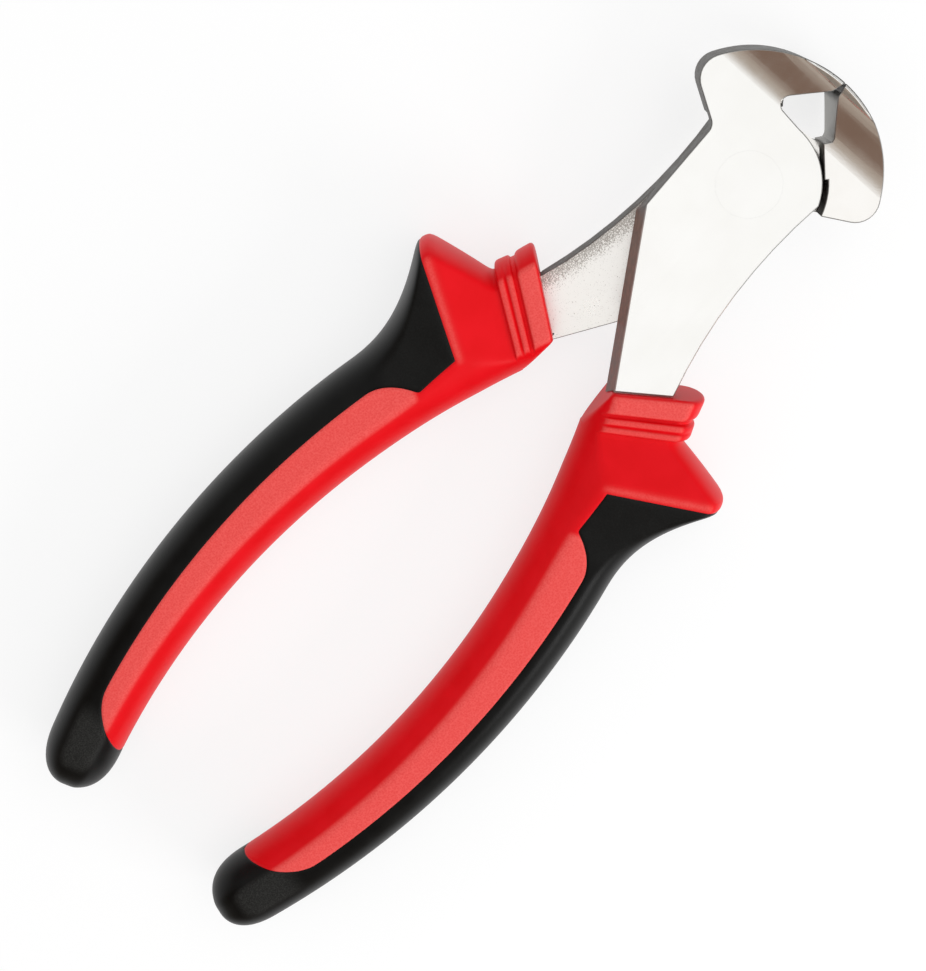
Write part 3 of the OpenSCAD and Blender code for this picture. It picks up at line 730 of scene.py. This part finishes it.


# The grained tones are lighter and paler than the plain ones: grain, and partly a painted sheen.
red_plastic = moulded_material(
    "red plastic", grain_scale=3000.0,
    plain_tones=((0.745, 0.002, 0.006, 1), (0.785, 0.0035, 0.009, 1)),
    grain_and_sheen_tones=((0.80, 0.066, 0.060, 1), (0.865, 0.108, 0.098, 1)),
    speckle_from=0.3, rough=0.38, relief=(0.85, 0.1), relief_depth=0.06 * mm, gloss=0.1)

for side, body in (("right", "front_lever"), ("left", "back_lever")):
    core = on_handle(core_form, side + "_grip_red_core", side == "left", red_plastic)
    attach(core, body)
    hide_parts(side + "_grip_core")


# GRIP COVERS
# A soft black rubber skin on the outer side and the end of each grip, for the palm and fingers.
# It is moulded round the core in one piece, flush with the red panels, and meets them in a fine seam.
cover_rings = []
for i in range(cover_start, len(stations)):
    points, normal = skin[i]
    upper = [(x, -stations[i], z) for x, z in points[core_columns:]]
    within = min(i, core_end)
    inner_points, inner_normal = skin[within]
    inner = inner_points[core_columns:] - inner_normal[core_columns:] * cover_depth
    under = [(x, -stations[within], z) for x, z in inner]
    outside = upper + [(x, y, -z) for x, y, z in reversed(upper[:-1])]
    inside = under + [(x, y, -z) for x, y, z in reversed(under[:-1])]
    cover_rings.append(outside + inside[::-1])
skin_columns = 2 * cover_columns - 1
over_core = core_end - cover_start + 1

# A hollow shell over the core, closed by a wall at the guard and one at the core's end, then the solid tip
bm = bmesh.new()
rows = [[bm.verts.new(p) for p in ring] for ring in cover_rings[:over_core]]
for low, high in zip(rows, rows[1:]):
    join_rows(bm, low, high, closed=True)
guard_wall = rows[0]
for k in range(skin_columns - 1):
    bm.faces.new((guard_wall[k + 1], guard_wall[k], guard_wall[-1 - k], guard_wall[-2 - k]))
bm.faces.new(rows[-1][skin_columns:])
low = rows[-1][:skin_columns]
for ring in cover_rings[over_core:]:
    high = [bm.verts.new(p) for p in ring[:skin_columns]]
    join_rows(bm, low, high, closed=False)
    low = high
cover_form = moulded(bm, "cover_form")


def cover_grain_and_sheen(n, s, z):
    """A little grain behind the guard and more on the cap, on the flat faces only, its lighter tone partly a
    painted sheen.
    """
    depth = np.interp(s, fine_s, fine_depth)
    on_face = ease((z - depth + 0.7) / 0.6)
    wide = (1 - ease((s - inlay_s - 3) / 4)) * 0.15
    cap = 0.8 * ease((s - panel_foot_s - 2) / 5) * (1 - ease((s - tip_s - 3) / 4))
    return np.clip(on_face * np.maximum(wide, cap), 0, 1)


grained(cover_form, cover_grain_and_sheen)

# The grained black is lighter than the plain: grain, and partly a painted sheen on the cap.
black_rubber = moulded_material(
    "black rubber", grain_scale=4200.0,
    plain_tones=((0.0016, 0.0016, 0.0014, 1), (0.0032, 0.0032, 0.0029, 1)),
    grain_and_sheen_tones=((0.012, 0.012, 0.0113, 1), (0.034, 0.034, 0.032, 1)),
    speckle_from=0.35, rough=0.34, relief=(0.7, 0.25), relief_depth=0.05 * mm, gloss=0.12)

for side, body in (("right", "front_lever"), ("left", "back_lever")):
    cover = on_handle(cover_form, side + "_grip_black_cover", side == "left", black_rubber)
    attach(cover, body)
    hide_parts(side + "_grip_cover")


# STUDIO
# A pale table, a large overhead softbox, a smaller one on the right, a white room, and one glowing brown card
# that stands behind the handles, out of the picture, seen only in reflections: it paints the flare's
# reflection bands.
table_half, table_glow, glow_share = 3.0, 1.03, 0.74
card_half_w, card_y, card_h = 0.8, -0.22, 1.0
room_fill, room_seen = 0.62, 1.0


def plane(name, corners, material):
    """A flat sheet of the studio, which isn't part of the tool."""
    mesh = bpy.data.meshes.new(name)
    mesh.from_pydata(corners, [], [(0, 1, 2, 3)])
    mesh.materials.append(material)
    made = bpy.data.objects.new(name, mesh)
    bpy.context.scene.collection.objects.link(made)
    made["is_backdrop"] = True
    return made


def seen_directly(wire):
    """1 for rays from the camera and for mirror and glass rays, 0 for light that falls on the object."""
    ray = wire.node("ShaderNodeLightPath").outputs
    return wire.math("MAXIMUM", ray["Is Camera Ray"],
                     wire.math("MAXIMUM", ray["Is Glossy Ray"], ray["Is Transmission Ray"]))


table, wire, shader, place = new_material("pale table")
shader.inputs["Base Color"].default_value = (0.95, 0.95, 0.95, 1)
shader.inputs["Roughness"].default_value = 1.0
shader.inputs["Specular IOR Level"].default_value = 0.0
glow = wire.node("ShaderNodeEmission", Color=(1, 1, 1, 1), Strength=table_glow)
mixed = wire.node("ShaderNodeMixShader", i0=wire.math("MULTIPLY", seen_directly(wire), glow_share),
                  i1=shader.outputs[0], i2=glow.outputs[0])
wire.feed(table.node_tree.nodes["Material Output"].inputs["Surface"], mixed.outputs[0])
plane("table", [(x * table_half, y * table_half, 0) for x, y in ((-1, -1), (1, -1), (1, 1), (-1, 1))], table)

card_reflection_glow, wire, shader, place = new_material("glowing reflection card")
# The card glows in beige, brown and white bands by height, seen only in reflections: a painted reflection.
card_z = wire.node("ShaderNodeSeparateXYZ", i0=place).outputs["Z"]
beige, brown, white = (0.40, 0.34, 0.29, 1), (0.19, 0.125, 0.095, 1), (1, 1, 1, 1)
tone = wire.blend(wire.steps(card_z, 0.11, 0.17), beige, brown)
tone = wire.blend(wire.steps(card_z, 0.31, 0.46), tone, beige)
tone = wire.blend(wire.steps(card_z, 0.5, 0.86), tone, white)
glow = wire.node("ShaderNodeEmission", Color=tone, Strength=1.0)
wire.feed(card_reflection_glow.node_tree.nodes["Material Output"].inputs["Surface"], glow.outputs[0])
card = plane("reflection_card", [(x * card_half_w, card_y, z * card_h)
                            for x, z in ((-1, 0), (1, 0), (1, 1), (-1, 1))], card_reflection_glow)
card.visible_camera = card.visible_diffuse = card.visible_shadow = card.visible_transmission = False

for name, place, wide, high, watts in (("softbox", (0.09, 0.33, 1.0), 0.9, 0.9, 2.9),
                                       ("side softbox", (0.65, 0.05, 0.36), 0.42, 0.3, 2.2)):
    light = bpy.data.lights.new(name, "AREA")
    light.shape = "RECTANGLE"
    light.size, light.size_y, light.energy = wide, high, watts
    softbox = bpy.data.objects.new(name, light)
    softbox.location = place
    softbox.rotation_euler = (-softbox.location).to_track_quat("-Z", "Y").to_euler()
    softbox.visible_glossy = name == "side softbox"
    bpy.context.scene.collection.objects.link(softbox)

room = bpy.data.worlds.new("white room")
bpy.context.scene.world = room
room.use_nodes = True
wire = Wiring(room.node_tree)
sky = room.node_tree.nodes["Background"]
sky.inputs["Color"].default_value = (1, 1, 1, 1)
wire.feed(sky.inputs["Strength"], wire.steps(seen_directly(wire), 0.0, 1.0, room_fill, room_seen))

# The camera looks down on the pivot, turned so that the head points to the upper right of the picture.
# The sensor lies along the picture's longer side, its height in pixels.
frame_h, focal_px, sensor = 971.0, 2500.0, 36.0
view_pitch, view_roll, view_yaw = 0.2216, -0.0211, -0.7238
view_turn = (Matrix.Rotation(view_pitch, 3, "X") @ Matrix.Rotation(view_roll, 3, "Y")
             @ Matrix.Rotation(view_yaw, 3, "Z"))
view_shift = Vector((46.813, 50.456, -414.04)) * mm
camera_data = bpy.data.cameras.new("camera")
camera_data.sensor_width = sensor
camera_data.lens = focal_px * sensor / frame_h
camera_data.clip_start = 0.01
camera = bpy.data.objects.new("camera", camera_data)
turn_back = view_turn.transposed()
camera.matrix_world = Matrix.Translation(pivot - turn_back @ view_shift) @ turn_back.to_4x4()
bpy.context.scene.collection.objects.link(camera)
bpy.context.scene.camera = camera
bpy.context.scene.view_settings.view_transform = "Standard"

low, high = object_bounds()
